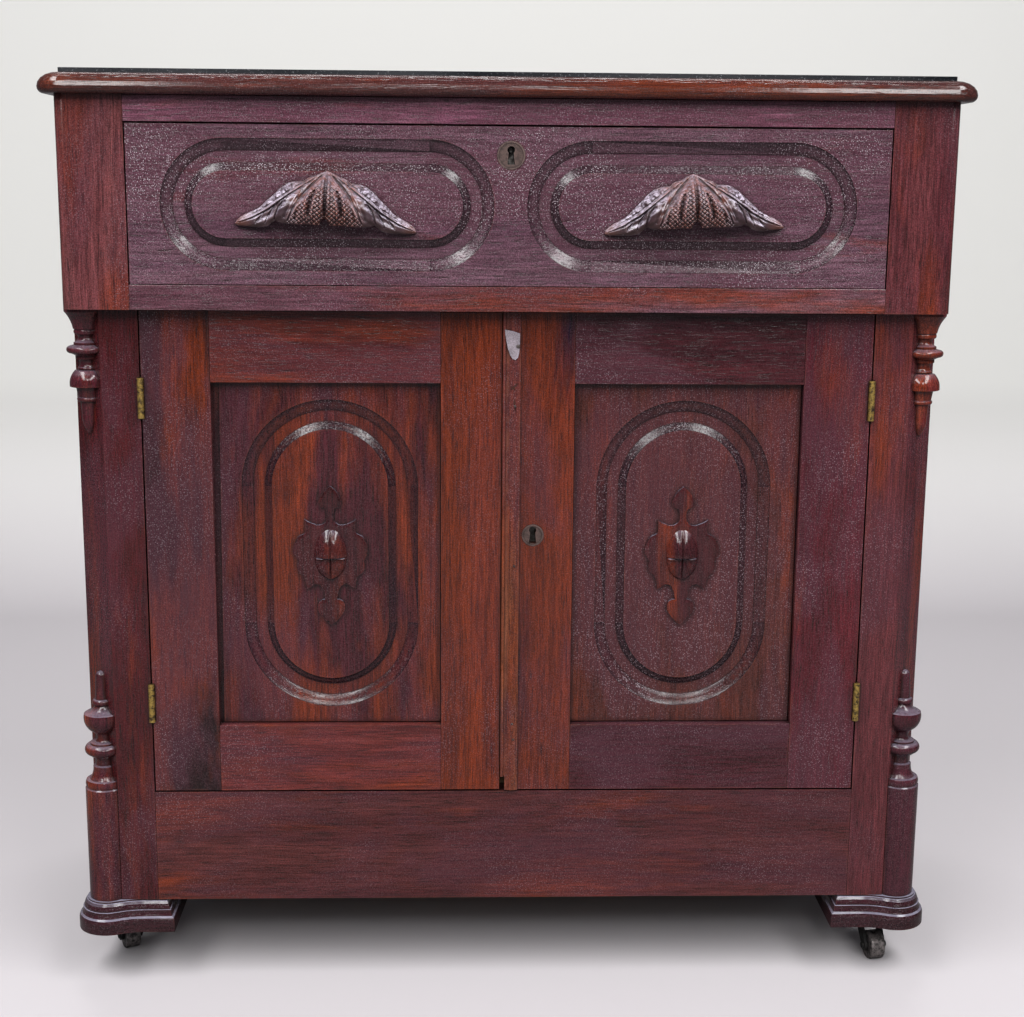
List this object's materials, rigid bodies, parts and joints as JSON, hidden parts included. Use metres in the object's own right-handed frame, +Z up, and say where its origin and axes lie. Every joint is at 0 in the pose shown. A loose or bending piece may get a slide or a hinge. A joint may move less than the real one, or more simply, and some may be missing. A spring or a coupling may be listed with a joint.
{
  "type": "washstand cupboard",
  "caption": "Freestanding washstand cupboard on casters: a wide moulded drawer over a pair of panelled doors, with turned corner ornaments and a thumb-moulded top.",
  "frame": {"origin": "on the floor under the middle of the overall box", "axes": "+Z up, -Y towards the front with the drawer and doors, +X towards the viewer's right"},
  "size_m": [0.8544, 0.44, 0.8825],
  "materials": {
    "varnished_walnut": "dark red-brown varnished walnut, glossy, worn orange in places",
    "moulded_walnut": "very dark glossy varnish over moulded walnut",
    "turned_walnut": "dark varnished turned walnut",
    "carved_walnut": "carved walnut with a dull greyish sheen on old varnish",
    "plain_inner_wood": "unvarnished aged softwood",
    "black_sheet": "thin black oilcloth-like sheet, dusty satin",
    "hinge_brass": "tarnished brass",
    "keyhole_plate_metal": "browned inlaid metal",
    "lock_steel": "dull old steel",
    "dark_iron": "dark worn iron"
  },
  "bodies": {
    "cabinet": {"back_boards": "plain_inner_wood", "base_rail": "varnished_walnut", "caster_plates": "dark_iron", "columns_and_finials": "turned_walnut", "corner_post_left": "varnished_walnut", "corner_post_right": "varnished_walnut", "cupboard_bottom": "plain_inner_wood", "drawer_rail": "varnished_walnut", "drawer_slideways": "plain_inner_wood", "front_foot_left": "moulded_walnut", "front_foot_right": "moulded_walnut", "hinge_leaves": "hinge_brass", "pendant_left": "turned_walnut", "pendant_right": "turned_walnut", "rear_feet": "moulded_walnut", "rear_post_left": "varnished_walnut", "rear_post_right": "varnished_walnut", "side_panel_left": "varnished_walnut", "side_panel_right": "varnished_walnut", "side_rails_left": "varnished_walnut", "side_rails_right": "varnished_walnut", "top_board": "moulded_walnut", "top_rail": "varnished_walnut", "top_sheet": "black_sheet", "upper_stile_left": "varnished_walnut", "upper_stile_right": "varnished_walnut"},
    "drawer": {"drawer_front": "varnished_walnut", "drawer_side_left": "plain_inner_wood", "drawer_side_right": "plain_inner_wood", "drawer_back": "plain_inner_wood", "drawer_bottom": "plain_inner_wood", "drawer_keyhole_plate": "keyhole_plate_metal", "drawer_lock": "lock_steel", "pull_left": "carved_walnut", "pull_right": "carved_walnut"},
    "drawer_bolt": {"drawer_lock_bolt": "lock_steel"},
    "left_door": {"left_door_hinge_stile": "varnished_walnut", "left_door_meeting_stile": "varnished_walnut", "left_door_rails": "varnished_walnut", "left_door_panel": "varnished_walnut", "left_door_ornament": "carved_walnut", "left_door_hinges": "hinge_brass"},
    "right_door": {"right_door_hinge_stile": "varnished_walnut", "right_door_meeting_stile": "varnished_walnut", "right_door_rails": "varnished_walnut", "right_door_panel": "varnished_walnut", "right_door_ornament": "carved_walnut", "right_door_hinges": "hinge_brass", "astragal": "varnished_walnut", "door_lock": "lock_steel", "door_keyhole_plate": "keyhole_plate_metal"},
    "door_bolt": {"door_lock_bolt": "lock_steel"},
    "caster_front_left": {"caster_fork_front_left": "dark_iron"},
    "wheel_front_left": {"caster_wheel_front_left": "dark_iron"},
    "caster_front_right": {"caster_fork_front_right": "dark_iron"},
    "wheel_front_right": {"caster_wheel_front_right": "dark_iron"},
    "caster_rear_left": {"caster_fork_rear_left": "dark_iron"},
    "wheel_rear_left": {"caster_wheel_rear_left": "dark_iron"},
    "caster_rear_right": {"caster_fork_rear_right": "dark_iron"},
    "wheel_rear_right": {"caster_wheel_rear_right": "dark_iron"}
  },
  "joints": [
    {"name": "drawer_slide", "type": "slide", "parent": "cabinet", "child": "drawer", "axis": [0, -1, 0], "range_m": [0, 0.28]},
    {"name": "drawer_bolt_slide", "type": "slide", "parent": "drawer", "child": "drawer_bolt", "axis": [0, 0, 1], "range_m": [0, 0.008]},
    {"name": "left_door_hinge", "type": "hinge", "parent": "cabinet", "child": "left_door", "pos_m": [-0.34485, -0.176, 0.43], "axis": [0, 0, -1], "range_deg": [0, 165]},
    {"name": "right_door_hinge", "type": "hinge", "parent": "cabinet", "child": "right_door", "pos_m": [0.34485, -0.176, 0.43], "axis": [0, 0, 1], "range_deg": [0, 165]},
    {"name": "door_bolt_slide", "type": "slide", "parent": "right_door", "child": "door_bolt", "axis": [-1, 0, 0], "range_m": [0, 0.012]},
    {"name": "caster_swivel_front_left", "type": "hinge", "parent": "cabinet", "child": "caster_front_left", "pos_m": [-0.3795, -0.1285, 0.044], "axis": [0, 0, 1], "continuous": true},
    {"name": "wheel_spin_front_left", "type": "hinge", "parent": "caster_front_left", "child": "wheel_front_left", "pos_m": [-0.38858, -0.11068, 0.0145], "axis": [-0.891, -0.454, 0], "continuous": true},
    {"name": "caster_swivel_front_right", "type": "hinge", "parent": "cabinet", "child": "caster_front_right", "pos_m": [0.3795, -0.1285, 0.044], "axis": [0, 0, 1], "continuous": true},
    {"name": "wheel_spin_front_right", "type": "hinge", "parent": "caster_front_right", "child": "wheel_front_right", "pos_m": [0.38297, -0.1482, 0.0145], "axis": [0.9848, 0.1736, 0], "continuous": true},
    {"name": "caster_swivel_rear_left", "type": "hinge", "parent": "cabinet", "child": "caster_rear_left", "pos_m": [-0.3795, 0.174, 0.044], "axis": [0, 0, 1], "continuous": true},
    {"name": "wheel_spin_rear_left", "type": "hinge", "parent": "caster_rear_left", "child": "wheel_rear_left", "pos_m": [-0.38795, 0.19213, 0.0145], "axis": [-0.9063, -0.4226, 0], "continuous": true},
    {"name": "caster_swivel_rear_right", "type": "hinge", "parent": "cabinet", "child": "caster_rear_right", "pos_m": [0.3795, 0.174, 0.044], "axis": [0, 0, 1], "continuous": true},
    {"name": "wheel_spin_rear_right", "type": "hinge", "parent": "caster_rear_right", "child": "wheel_rear_right", "pos_m": [0.38634, 0.19279, 0.0145], "axis": [-0.9397, 0.342, 0], "continuous": true}
  ]
}
